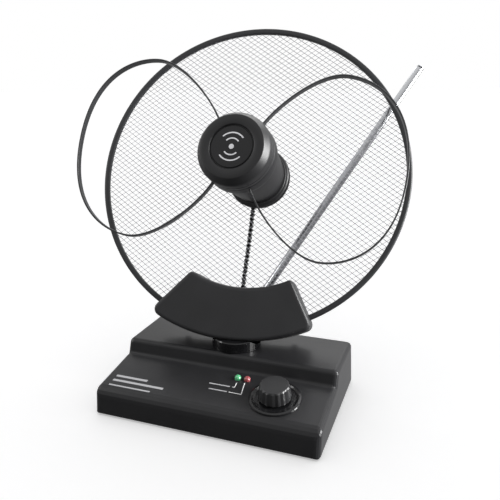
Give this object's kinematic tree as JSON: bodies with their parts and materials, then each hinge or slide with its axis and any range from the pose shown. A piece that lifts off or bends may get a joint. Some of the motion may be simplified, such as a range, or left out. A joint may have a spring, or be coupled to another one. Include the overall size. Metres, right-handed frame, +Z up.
{
  "type": "tabletop television aerial",
  "caption": "Tabletop TV aerial: amplifier base with gain knob, tilting round mesh reflector on a swivel neck, two flat loop ears on a turning hub, telescopic rod.",
  "frame": {"origin": "centre of the case's underside, on the lower face of the grip pad, at table level", "axes": "+Z up from the table, -Y towards the control panel and the viewer, +X towards the gain knob's side"},
  "size_m": [0.2629, 0.2154, 0.285],
  "materials": {
    "case_black": "satin moulded",
    "cover_black": "matt moulded",
    "cradle_black": "satin moulded",
    "hub_grey": "satin moulded",
    "rim_grey": "satin moulded",
    "neck_gloss": "glossy",
    "knob_black": "glossy",
    "bezel": "glossy with printed rings",
    "socket_black": "moulded",
    "green_lens": "translucent lamp",
    "red_lens": "translucent lamp",
    "emblem": "printed disc",
    "board": "glass-fibre circuit board",
    "rubber": "matt",
    "cable_black": "smooth jacket",
    "ear_grey": "dark grey painted strip",
    "mesh_wire": "woven wire",
    "steel": "zinc plated",
    "socket_metal": "nickel plated",
    "brass": "turned",
    "rod_chrome": "polished plating"
  },
  "bodies": {
    "base": {"case_top_shell": "case_black", "bottom_cover": "cover_black", "cover_screw_1": "steel", "cover_screw_2": "steel", "cover_screw_3": "steel", "cover_screw_4": "steel", "foot_1": "rubber", "foot_2": "rubber", "foot_3": "rubber", "foot_4": "rubber", "grip_pad": "rubber", "ballast_plate": "steel", "circuit_board": "board", "coax_output_socket": "socket_metal", "external_aerial_socket": "socket_metal", "power_socket": "socket_black", "gain_potentiometer": "steel", "potentiometer_nut": "steel", "knob_bezel": "bezel", "led_green": "green_lens", "led_red": "red_lens"},
    "knob": {"gain_knob": "knob_black", "potentiometer_shaft": "brass"},
    "swivel": {"swivel_neck": "neck_gloss", "swivel_nut": "cover_black"},
    "dish": {"cradle_front_shell": "cradle_black", "cradle_rear_shell": "cradle_black", "tilt_pin": "steel", "cradle_screw_1": "steel", "cradle_screw_2": "steel", "reflector_rim": "rim_grey", "reflector_screen": "mesh_wire", "hub_flange": "hub_grey", "hub_rear_cap": "hub_grey", "hub_retainer": "steel", "feed_cable": "cable_black", "rod_bracket": "cradle_black", "rod_retainer": "steel"},
    "loop_head": {"hub_body": "hub_grey", "hub_cap": "hub_grey", "hub_emblem": "emblem", "loop_terminal_board": "board", "loop_left": "ear_grey", "loop_right": "ear_grey"},
    "rod_base": {"rod_knuckle": "cradle_black", "rod_pin": "steel"},
    "rod_tube_1": {"rod_section_1": "rod_chrome"},
    "rod_tube_2": {"rod_section_2": "rod_chrome"},
    "rod_tube_3": {"rod_section_3": "rod_chrome"},
    "rod_tube_4": {"rod_section_4": "rod_chrome"},
    "rod_tube_5": {"rod_section_5": "rod_chrome"}
  },
  "joints": [
    {"name": "gain_turn", "type": "hinge", "parent": "base", "child": "knob", "pos_m": [0.0477, -0.03068, 0.02435], "axis": [0, -0.1483, 0.9889], "range_deg": [-150, 150]},
    {"name": "neck_swivel", "type": "hinge", "parent": "base", "child": "swivel", "pos_m": [0, 0.0167, 0.0387], "axis": [0, 0, 1], "range_deg": [-90, 90]},
    {"name": "dish_tilt", "type": "hinge", "parent": "swivel", "child": "dish", "pos_m": [0, 0.0167, 0.061], "axis": [0.9899, 0.1414, 0], "range_deg": [-11, 24]},
    {"name": "loop_turn", "type": "hinge", "parent": "dish", "child": "loop_head", "pos_m": [-0.00081, 0.07681, 0.16261], "axis": [0.0435, -0.8963, 0.4412], "range_deg": [-90, 90]},
    {"name": "rod_swing", "type": "hinge", "parent": "dish", "child": "rod_base", "pos_m": [0.00504, 0.04715, 0.06091], "axis": [0.1277, -0.8937, 0.4302], "range_deg": [-44, 106]},
    {"name": "rod_fold", "type": "hinge", "parent": "rod_base", "child": "rod_tube_1", "pos_m": [0.00504, 0.04715, 0.06091], "axis": [-0.8799, 0.0981, 0.4649], "range_deg": [0, 45]},
    {"name": "rod_slide_2", "type": "slide", "parent": "rod_tube_1", "child": "rod_tube_2", "axis": [0.4577, 0.4379, 0.7738], "range_m": [0, 0.195]},
    {"name": "rod_slide_3", "type": "slide", "parent": "rod_tube_2", "child": "rod_tube_3", "axis": [0.4577, 0.4379, 0.7738], "range_m": [0, 0.195]},
    {"name": "rod_slide_4", "type": "slide", "parent": "rod_tube_3", "child": "rod_tube_4", "axis": [0.4577, 0.4379, 0.7738], "range_m": [0, 0.195]},
    {"name": "rod_slide_5", "type": "slide", "parent": "rod_tube_4", "child": "rod_tube_5", "axis": [0.4577, 0.4379, 0.7738], "range_m": [0, 0.195]}
  ]
}
